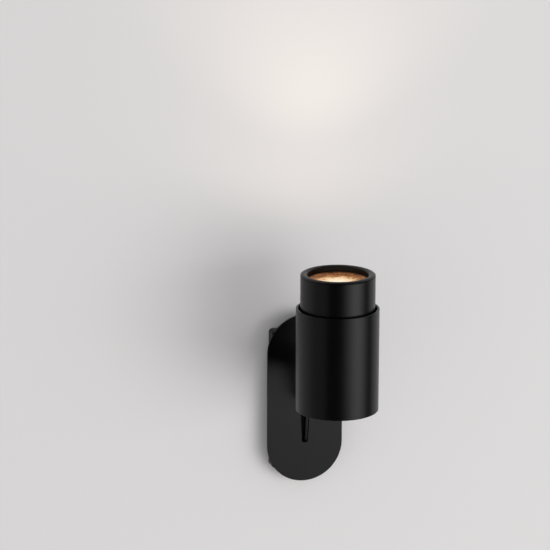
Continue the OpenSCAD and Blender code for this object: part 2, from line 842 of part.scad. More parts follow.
module bottom_cap() {
    color(black) on_head(sleeve_z + cap_recess) difference() {
        cylinder(h = cap_t, r = sleeve_bore_r - clearance, $fn = 180);
        three_round(pillar_angle) mirror([0, 0, 1])
            flat_sink(screw_d + 0.1, flat_head_d + 0.2, cap_t + 1);
    }
}

module cap_pillars() {
    h = seat_z - cap_top;
    color(zinc) on_head(cap_top) three_round(pillar_angle) nut(nut_af, h, screw_d + 0.04);
}

module cap_screws() {
    color(dark_steel) on_head(sleeve_z + cap_recess) three_round(pillar_angle) mirror([0, 0, 1])
        flat_screw(screw_d, cap_t + cap_screw_grip, flat_head_d);
}

// Head: lampholder and lamp

module holder_bracket() {
    leg_h = strap_top - tube_z;
    color(zinc) on_head() difference() {
        union() {
            translate([-strap_span / 2, -strap_w / 2, strap_top - strap_t])
                cube([strap_span, strap_w, strap_t]);
            for (s = [-1, 1]) {
                translate([s > 0 ? strap_span / 2 - strap_t : -strap_span / 2, -strap_w / 2, tube_z])
                    cube([strap_t, strap_w, leg_h]);
                translate([s > 0 ? strap_span / 2 - strap_t : -strap_span / 2 - foot_l,
                           -foot_w / 2, tube_z]) cube([foot_l + strap_t, foot_w, strap_t]);
            }
        }
        translate([0, 0, strap_top - 5]) cylinder(h = 10, d = strap_hole_d);
        for (s = [-1, 1]) translate([0, s * holder_screw_pitch / 2, strap_top - 5])
            cylinder(h = 10, d = holder_screw_d + 0.04);
        for (s = [-1, 1]) translate([s * foot_x, 0, tube_z - 1])
            cylinder(h = 5, d = screw_d + 0.1);
    }
}

module bracket_screws() {
    color(zinc) on_head(tube_z + strap_t) for (s = [-1, 1]) translate([s * foot_x, 0, 0])
        pan_screw(screw_d, strap_t + base_t, screw_head_d, screw_head_t);
}

module lampholder() {
    color("#ece9e2") on_head(strap_top) difference() {
        intersection() {
            cylinder(h = holder_h, d = holder_w);
            translate([-holder_w / 2, -holder_depth / 2, 0]) cube([holder_w, holder_depth, holder_h]);
        }
        for (s = [-1, 1]) translate([s * pin_pitch / 2, 0, holder_h - pin_l - 1])
            cylinder(h = pin_l + 2, d = pin_d + 0.6);
        for (s = [-1, 1]) translate([0, s * holder_screw_pitch / 2, holder_h])
            flat_sink(holder_screw_d + 0.1, holder_head_d + 0.2, holder_h + 1);
        translate([0, 0, -1]) cylinder(h = 4, d = lead_hole_d);
    }
}

module holder_screws() {
    color(zinc) on_head(holder_top) for (s = [-1, 1]) translate([0, s * holder_screw_pitch / 2, 0])
        flat_screw(holder_screw_d, holder_h + strap_t + 1, holder_head_d);
}

module head_leads() {
    for (s = [-1, 1]) color(s < 0 ? "#6b3f22" : "#2f5f9e") lead([
        [s * lead_pitch / 2, -hinge_out - riser_start - 1.5 - riser_w / 4 - 4.8, swivel_rise],
        [s * lead_pitch / 2, -head_out, swivel_rise],
        [s * lead_pitch / 2, -head_out, strap_top + 2]
    ], 8);
}

module lamp_shell() {
    neck_z = shoulder_z + lamp_base_h;
    rim_z = face_z - lamp_rim_h;
    color("#2b2b2c") on_head() rotate_extrude() polygon([
        [lamp_base_r + 0.05, neck_z - 4], [lamp_base_r + 1.2, neck_z - 4],
        [lamp_base_r + 2.2, neck_z], [lamp_r, rim_z], [lamp_r, face_z],
        [lamp_r - lamp_wall, face_z], [lamp_r - lamp_wall, rim_z + 0.4],
        [lamp_base_r + 1.2, neck_z + 1.2], [lamp_base_r + 0.05, neck_z + 1.2]
    ]);
}

// A shallow bowl from the lens out to the lamp's rim
module lamp_reflector() {
    low = [lens_r + 0.1, face_z - lens_depth - 0.3];
    high = [lamp_r - lamp_wall - 0.05, face_z - 0.2];
    steps = 8;
    dish = [for (i = [0:steps]) let (t = i / steps)
        low + [(high[0] - low[0]) * t, (high[1] - low[1]) * t * t]];
    back = [for (i = [steps:-1:0]) dish[i] - [0, reflector_t]];
    color(copper_tone) on_head() rotate_extrude() polygon(concat(dish, back));
}

module lamp_emitter() {
    color("#f6e3b8") on_head(emitter_z) {
        translate([0, 0, -emitter_board_t]) cylinder(h = emitter_board_t, r = emitter_r - 0.1);
        cylinder(h = emitter_dome_h, r = emitter_dome_r);
    }
}

module lamp_lens() {
    color("#fff1d2") on_head(face_z - lens_depth - lens_h)
        cylinder(h = lens_h, r1 = lens_foot_r, r2 = lens_r);
}

module lamp_base() {
    post_h = emitter_z - emitter_board_t - 0.1 - shoulder_z;
    color("#ece9e2") on_head(shoulder_z) {
        cylinder(h = lamp_base_h + 1, r = lamp_base_r);
        cylinder(h = post_h, r = heat_post_r);
    }
}

module lamp_pins() {
    color(zinc) on_head(shoulder_z) for (s = [-1, 1]) translate([s * pin_pitch / 2, 0, 0]) {
        translate([0, 0, -pin_l]) cylinder(h = 3, d = pin_d);
        translate([0, 0, -pin_l]) cylinder(h = pin_l, d = pin_d - 1.8);
    }
}

wall_bracket();
cable_grommet();
housing();
wall_plate();
plate_studs();
stud_nuts();
hinge_channel();
hinge_pin();
hinge_washers();
hinge_springs();
hinge_nut();
bracket_grub_screws();
terminal_block();
terminal_screws();
terminal_fixings();
earth_screw();
earth_tag();
box_leads();
arm();
arm_cover();
arm_leads();
swivel_cap();
swivel_stud();
swivel_rear_nut();
swivel_wave_washer();
swivel_face_washer();
swivel_saddle();
stop_pin();
clamp_block();
clamp_washer();
swivel_front_nut();
sleeve();
seat_ring();
tube_base();
base_screws();
inner_tube();
lip_ring();
bottom_cap();
cap_pillars();
cap_screws();
holder_bracket();
bracket_screws();
lampholder();
holder_screws();
head_leads();
lamp_shell();
lamp_reflector();
lamp_emitter();
lamp_lens();
lamp_base();
lamp_pins();
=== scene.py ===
# %% [markdown]
# A wall spotlight of black powder-coated metal: a plate on the wall, a folding arm, and a head of
# two tubes with a lit lamp. The solids come from the frame at their real size and place. This
# script gives each one its finish, softens the edges that catch light, and makes the pieces whose
# fine form the solids leave plain. Everything is in metres, on the frame's own axes.

# %% Load the frame
import bmesh
import bpy
import json
import math
from mathutils import Matrix, Vector


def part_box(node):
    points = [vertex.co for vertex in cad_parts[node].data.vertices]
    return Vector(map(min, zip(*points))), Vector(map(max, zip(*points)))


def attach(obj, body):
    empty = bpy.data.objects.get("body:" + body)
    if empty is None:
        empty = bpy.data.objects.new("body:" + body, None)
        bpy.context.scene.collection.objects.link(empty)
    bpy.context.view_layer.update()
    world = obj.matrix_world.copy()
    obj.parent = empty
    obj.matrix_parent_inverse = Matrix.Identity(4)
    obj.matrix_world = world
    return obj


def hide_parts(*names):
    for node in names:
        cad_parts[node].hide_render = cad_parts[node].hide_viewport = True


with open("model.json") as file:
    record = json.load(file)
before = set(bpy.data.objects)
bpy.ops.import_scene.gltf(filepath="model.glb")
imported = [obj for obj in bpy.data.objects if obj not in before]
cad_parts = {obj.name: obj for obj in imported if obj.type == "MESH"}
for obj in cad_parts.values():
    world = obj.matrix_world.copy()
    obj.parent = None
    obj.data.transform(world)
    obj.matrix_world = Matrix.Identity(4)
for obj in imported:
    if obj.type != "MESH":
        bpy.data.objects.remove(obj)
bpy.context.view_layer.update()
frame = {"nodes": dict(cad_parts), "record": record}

MM = 0.001

# %% [markdown]
# The photograph was taken from a little to the left of the light and a little above it, from far
# off with a long lens. A fit of the plate's, sleeve's and tube's outlines gave these numbers. The
# middle of the plate's front face is the point that the camera is placed by.

# %% Camera
PHOTO_SIZE = 550
SENSOR_MM = 36
FOCAL_PX = 2734.0
AZIMUTH = math.radians(17.561)
ELEVATION = math.radians(14.738)
ROLL = math.radians(0.118)
DISTANCE = 2.2797
PLATE_MIDDLE_PX = (305.109, 397.937)

plate_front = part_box("wall_plate")[0].y
PLATE_MIDDLE = Vector((0, plate_front, 0))


def camera_axes():
    """The camera's right, up and forward directions."""
    forward = Vector((
        math.sin(AZIMUTH) * math.cos(ELEVATION),
        math.cos(AZIMUTH) * math.cos(ELEVATION),
        -math.sin(ELEVATION)))
    level_right = Vector((math.cos(AZIMUTH), -math.sin(AZIMUTH), 0))
    level_up = level_right.cross(forward)
    right = math.cos(ROLL) * level_right + math.sin(ROLL) * level_up
    up = math.cos(ROLL) * level_up - math.sin(ROLL) * level_right
    return right, up, forward


def place_camera():
    right, up, forward = camera_axes()
    across = (PLATE_MIDDLE_PX[0] - PHOTO_SIZE / 2) / FOCAL_PX
    above = (PHOTO_SIZE / 2 - PLATE_MIDDLE_PX[1]) / FOCAL_PX
    where = PLATE_MIDDLE - DISTANCE * (forward + across * right + above * up)
    data = bpy.data.cameras.new("photo_camera")
    data.sensor_width = SENSOR_MM
    data.lens = SENSOR_MM * FOCAL_PX / PHOTO_SIZE
    camera = bpy.data.objects.new("photo_camera", data)
    turn = Matrix((right, up, -forward)).transposed().to_4x4()
    camera.matrix_world = Matrix.Translation(where) @ turn
    bpy.context.scene.collection.objects.link(camera)
    bpy.context.scene.camera = camera
    return camera


camera = place_camera()
print("Camera at", [round(c, 3) for c in camera.matrix_world.translation])

# %% [markdown]
# Materials and shapes are both made by trees of nodes here. One function turns the colour that a
# screen shows into the linear colour that Blender computes with, and one adds a node with its
# settings and links. Every pattern is laid out in millimetres on the object's own coordinates, so
# its size is the real one. Noise seldom goes below 0.3 or above 0.7, so the ramps and ranges that
# read it stretch that middle part. Grain makes a surface smoother in some places and rougher in
# others, by the two amounts below.

# %% Helpers for node trees

NOISE_LOW, NOISE_HIGH = 0.3, 0.7
SMOOTHER, ROUGHER = 0.05, 0.06


def linear(code):
    """An sRGB hex code as linear red, green, blue and alpha."""
    parts = [int(code[i:i + 2], 16) / 255 for i in (1, 3, 5)]
    return tuple(c / 12.92 if c <= 0.04045 else ((c + 0.055) / 1.055) ** 2.4 for c in parts) + (1.0,)


def add(tree, kind, inputs=None, stops=(), **settings):
    """Adds a node. An input is a plain value, or the socket that feeds it.

    Stops are a colour ramp's (place, hex colour) pairs.
    """
    node = tree.nodes.new(kind)
    for name, value in settings.items():
        setattr(node, name, value)
    for name, value in (inputs or {}).items():
        if isinstance(value, bpy.types.NodeSocket):
            tree.links.new(value, node.inputs[name])
        else:
            node.inputs[name].default_value = value
    for number, (at, code) in enumerate(stops):
        if number == len(node.color_ramp.elements):
            node.color_ramp.elements.new(at)
        node.color_ramp.elements[number].position = at
        node.color_ramp.elements[number].color = linear(code)
    return node


def per_mm(size_mm):
    """The scale that makes a noise's blotches about size_mm across."""
    return 1 / (size_mm * MM)


def new_material(name, colour, **shader_inputs):
    """A material with one shader, and the object's coordinates in metres."""
    material = bpy.data.materials.new(name)
    material.use_nodes = True
    tree = material.node_tree
    tree.nodes.clear()
    shader = add(tree, "ShaderNodeBsdfPrincipled", {"Base Color": linear(colour), **shader_inputs})
    add(tree, "ShaderNodeOutputMaterial", {"Surface": shader.outputs["BSDF"]})
    place = add(tree, "ShaderNodeTexCoord").outputs["Object"]
    return material, tree, shader, place


# %% [markdown]
# The whole visible body is polyester powder coat: a dry powder is sprayed on, and the oven melts
# it to a film about 0.08 mm thick. The film flows just enough to leave a soft unevenness a few
# millimetres across, called orange peel, with a fine grain on it. That gives broad, dim
# reflections with soft edges. The matting agent in the film takes away part of the mirror
# reflection too, so the specular level is 0.21, less than half of a clear film's 0.5. The grain is
# drawn 0.45 mm wide, three times the real one, so that it shows.

# %% Powder coat

COAT_CLOUD_MM = 14
PEEL_DEPTH_MM = 0.010
COAT_GRAIN_MM = 0.45
COAT_GRAIN_DEPTH_MM = 0.004


def powder_coat(name, peel_mm):
    material, tree, shader, place = new_material(
        name, "#050506", Metallic=0.0, Roughness=0.32, IOR=1.5, **{"Specular IOR Level": 0.21})
    cloud = add(tree, "ShaderNodeTexNoise", {"Vector": place, "Scale": per_mm(COAT_CLOUD_MM)})
    peel = add(tree, "ShaderNodeTexNoise", {"Vector": place, "Scale": per_mm(peel_mm)})
    fine = add(tree, "ShaderNodeTexNoise", {
        "Vector": place, "Scale": per_mm(COAT_GRAIN_MM), "Detail": 3.0})
    colour = add(tree, "ShaderNodeValToRGB", {"Fac": cloud.outputs["Fac"]},
                 stops=[(NOISE_LOW, "#040405"), (NOISE_HIGH, "#060607")])
    rough = add(tree, "ShaderNodeMapRange", {
        "Value": fine.outputs["Fac"], "From Min": NOISE_LOW, "From Max": NOISE_HIGH,
        "To Min": 0.29, "To Max": 0.35})
    peeled = add(tree, "ShaderNodeBump", {
        "Height": peel.outputs["Fac"], "Distance": PEEL_DEPTH_MM * MM})
    grained = add(tree, "ShaderNodeBump", {
        "Height": fine.outputs["Fac"], "Distance": COAT_GRAIN_DEPTH_MM * MM,
        "Normal": peeled.outputs["Normal"]})
    tree.links.new(colour.outputs["Color"], shader.inputs["Base Color"])
    tree.links.new(rough.outputs["Result"], shader.inputs["Roughness"])
    tree.links.new(grained.outputs["Normal"], shader.inputs["Normal"])
    return material


coated_steel = powder_coat("powder coated sheet steel", peel_mm=2.4)
coated_aluminium = powder_coat("powder coated turned aluminium", peel_mm=1.9)
print("Powder coats made:", coated_steel.name, "and", coated_aluminium.name)

# %% [markdown]
# The channel behind the slot is black, but its side walls are painted a lighter grey. This is
# painted light, for the light that falls into the channel from the side and reaches its walls
# but not its floor. Its floor and ends stay black. The walls are the faces that look along X.

# %% Painted light in the channel


def painted_light_channel(name):
    material, tree, shader, place = new_material(
        name, "#020202", Roughness=0.5, **{"Specular IOR Level": 0.15})
    facing = add(tree, "ShaderNodeTexCoord").outputs["Normal"]
    along = add(tree, "ShaderNodeSeparateXYZ", {"Vector": facing})
    across = add(tree, "ShaderNodeMath", {0: along.outputs["X"]}, operation="ABSOLUTE")
    fine = add(tree, "ShaderNodeTexNoise", {"Vector": place, "Scale": per_mm(0.5), "Detail": 3.0})
    # Walls that look along X get a lighter grey, which is painted light; the floor and ends stay
    # black.
    colour = add(tree, "ShaderNodeValToRGB", {"Fac": across.outputs["Value"]},
                 stops=[(0.5, "#020202"), (0.9, "#6a6a6b")])
    grained = add(tree, "ShaderNodeBump", {
        "Height": fine.outputs["Fac"], "Distance": COAT_GRAIN_DEPTH_MM * MM})
    tree.links.new(colour.outputs["Color"], shader.inputs["Base Color"])
    tree.links.new(grained.outputs["Normal"], shader.inputs["Normal"])
    return material


channel_painted_light = painted_light_channel("black sheet steel with painted light on its channel walls")
print("The channel's finish:", channel_painted_light.name)

# %% [markdown]
# Zinc plating on stamped steel is bright but not a mirror. The rolling of the sheet leaves faint
# lines along it, and the clear passivation tints it blue in places and straw yellow in others.
# A metal keeps the shader's own index of refraction; its colour does the work.

# %% Zinc plated steel


def zinc_plate(name, lines_mm, roughness):
    """lines_mm gives the size of the rolling lines along X, Y and Z."""
    material, tree, shader, place = new_material(
        name, "#a9abad", Metallic=1.0, Roughness=roughness)
    stretched = add(tree, "ShaderNodeMapping", {
        "Vector": place, "Scale": tuple(per_mm(size) for size in lines_mm)})
    lines = add(tree, "ShaderNodeTexNoise", {
        "Vector": stretched.outputs["Vector"], "Scale": 1.0, "Detail": 3.0})
    tint = add(tree, "ShaderNodeTexNoise", {"Vector": place, "Scale": per_mm(11)})
    colour = add(tree, "ShaderNodeValToRGB", {"Fac": tint.outputs["Fac"]},
                 stops=[(NOISE_LOW, "#a3a8b0"), (NOISE_HIGH, "#b3ae9f")])
    rough = add(tree, "ShaderNodeMapRange", {
        "Value": lines.outputs["Fac"], "From Min": NOISE_LOW, "From Max": NOISE_HIGH,
        "To Min": roughness - SMOOTHER, "To Max": roughness + ROUGHER})
    scored = add(tree, "ShaderNodeBump", {
        "Height": lines.outputs["Fac"], "Distance": 0.0008 * MM})
    tree.links.new(colour.outputs["Color"], shader.inputs["Base Color"])
    tree.links.new(rough.outputs["Result"], shader.inputs["Roughness"])
    tree.links.new(scored.outputs["Normal"], shader.inputs["Normal"])
    return material


zinc_sheet = zinc_plate("zinc plated rolled steel", (0.3, 0.3, 60), roughness=0.32)
zinc_turned = zinc_plate("zinc plated turned steel", (0.5, 0.5, 0.5), roughness=0.28)
print("Zinc finishes made:", zinc_sheet.name, "and", zinc_turned.name)

# %% [markdown]
# Turned aluminium keeps the track of the cutting tool: rings round the axis that it was turned
# on, a fraction of a millimetre apart. Inside the head that axis is the head's own. The rings are
# drawn 0.6 mm apart, about four times the real feed, so that they show. A wave texture repeats
# about every 1 / pi of its own units, which its scale allows for.

# %% Turned aluminium

sleeve_low, sleeve_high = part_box("sleeve")
HEAD_AXIS = Vector(((sleeve_low.x + sleeve_high.x) / 2, (sleeve_low.y + sleeve_high.y) / 2, 0))


def turned_aluminium(name, ring_mm):
    material, tree, shader, place = new_material(
        name, "#c3c5c8", Metallic=1.0, Roughness=0.3)
    centred = add(tree, "ShaderNodeMapping", {"Vector": place, "Location": tuple(-HEAD_AXIS)})
    rings = add(tree, "ShaderNodeTexWave", {
        "Vector": centred.outputs["Vector"], "Scale": per_mm(ring_mm * math.pi),
        "Distortion": 0.3}, wave_type="RINGS", rings_direction="Z")
    rough = add(tree, "ShaderNodeMapRange", {
        "Value": rings.outputs["Fac"], "To Min": 0.24, "To Max": 0.36})
    scored = add(tree, "ShaderNodeBump", {
        "Height": rings.outputs["Fac"], "Distance": 0.006 * MM})
    tree.links.new(rough.outputs["Result"], shader.inputs["Roughness"])
    tree.links.new(scored.outputs["Normal"], shader.inputs["Normal"])
    return material


bare_aluminium = turned_aluminium("turned aluminium", ring_mm=0.6)
print("Rings run round x, y =", [round(c, 4) for c in HEAD_AXIS[:2]])

# %% [markdown]
# The small hidden pieces each have the finish of what they are made from: black oxide on the
# hardened grub screws, moulded rubber on the grommet, natural nylon on the washers, ivory
# polyamide on the terminal block, brass on the earth screw, and steatite, a fired unglazed
# ceramic, on the lampholder. One function covers these, since they differ only in numbers.

# %% Plain mouldings and small metals


def fine_surface(name, dark, light, roughness, grain_mm, depth_mm, metallic=0.0, **shader_inputs):
    """A two-tone surface with one size of grain."""
    material, tree, shader, place = new_material(
        name, light, Metallic=metallic, Roughness=roughness, **shader_inputs)
    cloud = add(tree, "ShaderNodeTexNoise", {"Vector": place, "Scale": per_mm(18 * grain_mm)})
    fine = add(tree, "ShaderNodeTexNoise", {
        "Vector": place, "Scale": per_mm(grain_mm), "Detail": 3.0})
    colour = add(tree, "ShaderNodeValToRGB", {"Fac": cloud.outputs["Fac"]},
                 stops=[(NOISE_LOW, dark), (NOISE_HIGH, light)])
    rough = add(tree, "ShaderNodeMapRange", {
        "Value": fine.outputs["Fac"], "From Min": NOISE_LOW, "From Max": NOISE_HIGH,
        "To Min": roughness - SMOOTHER, "To Max": roughness + ROUGHER})
    grained = add(tree, "ShaderNodeBump", {
        "Height": fine.outputs["Fac"], "Distance": depth_mm * MM})
    tree.links.new(colour.outputs["Color"], shader.inputs["Base Color"])
    tree.links.new(rough.outputs["Result"], shader.inputs["Roughness"])
    tree.links.new(grained.outputs["Normal"], shader.inputs["Normal"])
    return material


black_oxide = fine_surface("black oxide steel", "#232427", "#34363a", 0.34, 0.3, 0.003, metallic=1.0)
moulded_rubber = fine_surface("moulded rubber", "#17171a", "#202024", 0.68, 0.35, 0.012)
natural_nylon = fine_surface("natural nylon", "#d4d1c4", "#e2dfd4", 0.45, 0.5, 0.004,
                             **{"Subsurface Weight": 0.1, "Subsurface Scale": 0.001})
ivory_polyamide = fine_surface("moulded polyamide", "#d9d4c4", "#e6e2d5", 0.42, 0.6, 0.006)
bare_brass = fine_surface("turned brass", "#b08c46", "#c9a55c", 0.28, 0.4, 0.003, metallic=1.0)
steatite = fine_surface("steatite ceramic", "#ded9cc", "#ebe7dc", 0.62, 0.35, 0.010)
lamp_moulding = fine_surface("dark lamp moulding", "#161617", "#202021", 0.4, 0.8, 0.003)
print("Small finishes made: 7")

# %% [markdown]
# The wires run in pairs, a brown and a blue one in silicone sleeves, and each pair is one node.
# The brown one lies on the -X side all the way, so the colour follows the sign of X.

# %% Silicone wire sleeves


def wire_sleeves(name, left, right):
    material, tree, shader, place = new_material(
        name, left, Metallic=0.0, Roughness=0.5, IOR=1.41)
    across = add(tree, "ShaderNodeSeparateXYZ", {"Vector": place})
    side = add(tree, "ShaderNodeMath", {0: across.outputs["X"], 1: 0.0}, operation="GREATER_THAN")
    colour = add(tree, "ShaderNodeValToRGB", {"Fac": side.outputs["Value"]},
                 stops=[(0.0, left), (1.0, right)])
    fine = add(tree, "ShaderNodeTexNoise", {"Vector": place, "Scale": per_mm(0.4)})
    grained = add(tree, "ShaderNodeBump", {
        "Height": fine.outputs["Fac"], "Distance": 0.006 * MM})
    tree.links.new(colour.outputs["Color"], shader.inputs["Base Color"])
    tree.links.new(grained.outputs["Normal"], shader.inputs["Normal"])
    return material


wire_silicone = wire_sleeves("silicone wire sleeve", "#5b321c", "#2a5691")
print("Wire sleeves made:", wire_silicone.name)

# %% [markdown]
# The lamp is lit. Round its bright lens lies a copper-toned reflector of small facets, which is
# brightest near the lens. Both glow by themselves here, by their distance from the lamp's axis,
# so that the picture doesn't depend on tracing light through the lamp. The lens's glow is the
# lamp's own light; the reflector's glow is painted light, the lamp's light that it reflects,
# brightest near the lens. Each facet mirrors another part of the lens, so some are light and
# some dark: a painted reflection, given by a number that each facet's face carries, called tone.

# %% Lamp finishes

lamp_low, lamp_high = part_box("lamp_shell")
LAMP_RADIUS = (lamp_high.x - lamp_low.x) / 2


def glowing(name, colour, stops, strength, contrast, **shader_inputs):
    """A finish that glows by its distance from the lamp's axis; the rim of the lamp is at 1."""
    material, tree, shader, place = new_material(name, colour, **shader_inputs)
    centred = add(tree, "ShaderNodeMapping", {
        "Vector": place, "Location": (-HEAD_AXIS.x, -HEAD_AXIS.y, 0)})
    level = add(tree, "ShaderNodeVectorMath", {
        0: centred.outputs["Vector"], 1: (1, 1, 0)}, operation="MULTIPLY")
    length = add(tree, "ShaderNodeVectorMath", {0: level.outputs["Vector"]}, operation="LENGTH")
    radius = add(tree, "ShaderNodeMath", {
        0: length.outputs["Value"], 1: LAMP_RADIUS}, operation="DIVIDE")
    tone = add(tree, "ShaderNodeAttribute", attribute_name="tone")
    shift = add(tree, "ShaderNodeMapRange", {
        "Value": tone.outputs["Fac"], "To Min": -contrast, "To Max": contrast})
    shifted = add(tree, "ShaderNodeMath", {
        0: radius.outputs["Value"], 1: shift.outputs["Result"]}, operation="ADD")
    glow = add(tree, "ShaderNodeValToRGB", {"Fac": shifted.outputs["Value"]}, stops=stops)
    tree.links.new(glow.outputs["Color"], shader.inputs["Emission Color"])
    shader.inputs["Emission Strength"].default_value = strength
    return material


# The reflector's glow is painted light, and its facet tones are a painted reflection of the lens.
reflector_painted_glow = glowing(
    "copper reflector with painted glow", "#7a5233",
    [(0.0, "#f6dcb8"), (0.58, "#e3bb8c"), (0.68, "#a8744a"), (0.84, "#6f4528"), (1.0, "#3c2416")],
    strength=0.8, contrast=0.09, Metallic=1.0, Roughness=0.25)
lens_moulding = glowing(
    "moulded polycarbonate lens", "#5c5040",
    [(0.0, "#fff0d6"), (0.3, "#fde6c4"), (0.5, "#f1d0a4"), (0.62, "#c99a68")],
    strength=0.9, contrast=0.12, Roughness=0.12, IOR=1.58)
phosphor = glowing(
    "lit phosphor", "#f4d99a",
    [(0.0, "#fff6e2"), (0.3, "#ffeccb"), (0.5, "#ffd9a0")],
    strength=3.0, contrast=0.0, Roughness=0.6)
print("Lamp is", round(2 * LAMP_RADIUS / MM, 1), "mm across")

# %% [markdown]
# Each solid now gets its finish. The list is by finish, so that a reader can see at once what is
# made of what.

# %% Finishes by solid

FINISHES = {
    coated_steel: ["housing", "wall_plate"],
    channel_painted_light: ["hinge_channel"],
    coated_aluminium: [
        "arm", "arm_cover", "swivel_cap", "swivel_saddle", "sleeve", "inner_tube", "lip_ring",
        "bottom_cap"],
    zinc_sheet: ["wall_bracket", "earth_tag", "holder_bracket", "hinge_springs"],
    zinc_turned: [
        "plate_studs", "stud_nuts", "hinge_pin", "hinge_nut", "terminal_screws",
        "terminal_fixings", "swivel_stud", "swivel_rear_nut", "swivel_wave_washer", "stop_pin",
        "clamp_washer", "swivel_front_nut", "base_screws", "cap_pillars", "bracket_screws",
        "holder_screws", "lamp_pins"],
    bare_aluminium: ["clamp_block", "seat_ring", "tube_base"],
    black_oxide: ["bracket_grub_screws", "cap_screws"],
    moulded_rubber: ["cable_grommet"],
    natural_nylon: ["hinge_washers", "swivel_face_washer"],
    ivory_polyamide: ["terminal_block"],
    bare_brass: ["earth_screw"],
    wire_silicone: ["box_leads", "arm_leads", "head_leads"],
    steatite: ["lampholder", "lamp_base"],
    lamp_moulding: ["lamp_shell"],
    reflector_painted_glow: ["lamp_reflector"],
    phosphor: ["lamp_emitter"],
    lens_moulding: ["lamp_lens"],
}
FINISH_OF = {name: material for material, names in FINISHES.items() for name in names}


def give_finish(thing, material):
    thing.data.materials.clear()
    thing.data.materials.append(material)


for name, solid in frame["nodes"].items():
    give_finish(solid, FINISH_OF[name])
print("Solids with a finish:", len(FINISH_OF))

# %% [markdown]
# Some solids are replaced by a piece with a finer form. The piece rides on the same body, hides
# the solid and has the solid's finish. The record says which body that is.

# %% Standing in for a solid

BODY_OF = {node: body for body, nodes in frame["record"]["behaviour"]["bodies"].items()
           for node in nodes}


def stand_for(piece, node):
    """The piece moves with the solid's body and shows in the solid's place."""
    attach(piece, BODY_OF[node])
    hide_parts(node)
    return piece


print("Bodies in the record:", sorted(set(BODY_OF.values())))

# %% [markdown]
# Powder flows round an edge and leaves it softly round, about 0.3 mm, and that edge catches a thin
# line of light. The solids' edges are sharp. So a flat or cast piece is copied, its loose
# triangles are joined, and a Bevel modifier rounds every edge that turns by more than 30 degrees.

# %% Soft edges

SHARP = math.radians(30)
NEARLY_FLAT = math.radians(0.3)
TOUCHING = 0.001 * MM


def softened(node, radius_mm):
    """A copy of a solid with rounded edges, which replaces it in the picture."""
    mesh = frame["nodes"][node].data.copy()
    shape = bmesh.new()
    shape.from_mesh(mesh)
    bmesh.ops.remove_doubles(shape, verts=shape.verts, dist=TOUCHING)
    bmesh.ops.dissolve_limit(
        shape, angle_limit=NEARLY_FLAT, verts=shape.verts, edges=shape.edges)
    for face in shape.faces:
        face.smooth = True
    shape.to_mesh(mesh)
    shape.free()
    mesh.set_sharp_from_angle(angle=SHARP)
    piece = bpy.data.objects.new(node + "_finished", mesh)
    bpy.context.scene.collection.objects.link(piece)
    bevel = piece.modifiers.new("soft edges", "BEVEL")
    bevel.width = radius_mm * MM
    bevel.segments = 2
    bevel.limit_method = "ANGLE"
    bevel.angle_limit = SHARP
    bevel.harden_normals = True
    return stand_for(piece, node)


EDGE_RADIUS_MM = {
    "wall_plate": 0.3, "housing": 0.25, "wall_bracket": 0.25, "hinge_channel": 0.2,
    "swivel_saddle": 0.3, "terminal_block": 0.4, "cable_grommet": 0.5,
}
for node, radius_mm in EDGE_RADIUS_MM.items():
    softened(node, radius_mm)
print("Softened:", ", ".join(EDGE_RADIUS_MM))

# %% [markdown]
# Screws, nuts, studs and facets repeat, so trees of geometry nodes lay them out. A tree has a
# named input for each size. It gets a start mesh, such as one screw, and ends by turning its
# copies into real geometry with a material, because the exported model can't hold instances. The
# result is then kept as a plain mesh, without the modifier.

# %% Tools for geometry nodes


def new_tree(name, sizes):
    """An empty tree with a named input of a given kind for each size, and those inputs."""
    tree = bpy.data.node_groups.new(name, "GeometryNodeTree")
    tree.interface.new_socket("Geometry", in_out="INPUT", socket_type="NodeSocketGeometry")
    for label, kind in sizes.items():
        tree.interface.new_socket(label, in_out="INPUT", socket_type="NodeSocket" + kind)
    tree.interface.new_socket("Material", in_out="INPUT", socket_type="NodeSocketMaterial")
    tree.interface.new_socket("Geometry", in_out="OUTPUT", socket_type="NodeSocketGeometry")
    return tree, add(tree, "NodeGroupInput").outputs


def end_tree(tree, geometry, material):
    real = add(tree, "GeometryNodeRealizeInstances", {"Geometry": geometry})
    finished = add(tree, "GeometryNodeSetMaterial", {
        "Geometry": real.outputs["Geometry"], "Material": material})
    add(tree, "NodeGroupOutput", {"Geometry": finished.outputs["Geometry"]})


def made_by(tree, name, material, sizes, start=None):
    """The plain mesh that a tree makes from a start mesh and sizes, as an object."""
    piece = bpy.data.objects.new(name, start or bpy.data.meshes.new(name))
    bpy.context.scene.collection.objects.link(piece)
    modifier = piece.modifiers.new("node tree", "NODES")
    modifier.node_group = tree
    values = {"Material": material, **sizes}
    for socket in tree.interface.items_tree:
        if socket.name in values:
            modifier[socket.identifier] = values[socket.name]
    evaluated = piece.evaluated_get(bpy.context.evaluated_depsgraph_get())
    mesh = bpy.data.meshes.new_from_object(evaluated)
    piece.modifiers.remove(modifier)
    piece.data = mesh
    mesh.set_sharp_from_angle(angle=SHARP)
    return piece


# %% [markdown]
# Copies lie either on a grid, such as the four studs behind the plate, or on a ring, such as the
# three screws of the bottom cap. Both trees first lay the copies out round the Z axis and then
# turn and move them all together.

# %% Trees that lay out copies


def end_with_copies(tree, size, points):
    """Puts the start mesh on each point, and turns and moves all the copies together."""
    copies = add(tree, "GeometryNodeInstanceOnPoints", {
        "Points": points, "Instance": size["Geometry"]})
    moved = add(tree, "GeometryNodeTransform", {
        "Geometry": copies.outputs["Instances"], "Rotation": size["Turn"],
        "Translation": size["Place"]})
    end_tree(tree, moved.outputs["Geometry"], size["Material"])


def grid_tree():
    tree, size = new_tree("copies on a grid", {
        "Across": "Int", "Up": "Int", "Width": "Float", "Height": "Float",
        "Turn": "Vector", "Place": "Vector"})
    points = add(tree, "GeometryNodeMeshGrid", {
        "Vertices X": size["Across"], "Vertices Y": size["Up"],
        "Size X": size["Width"], "Size Y": size["Height"]})
    end_with_copies(tree, size, points.outputs["Mesh"])
    return tree


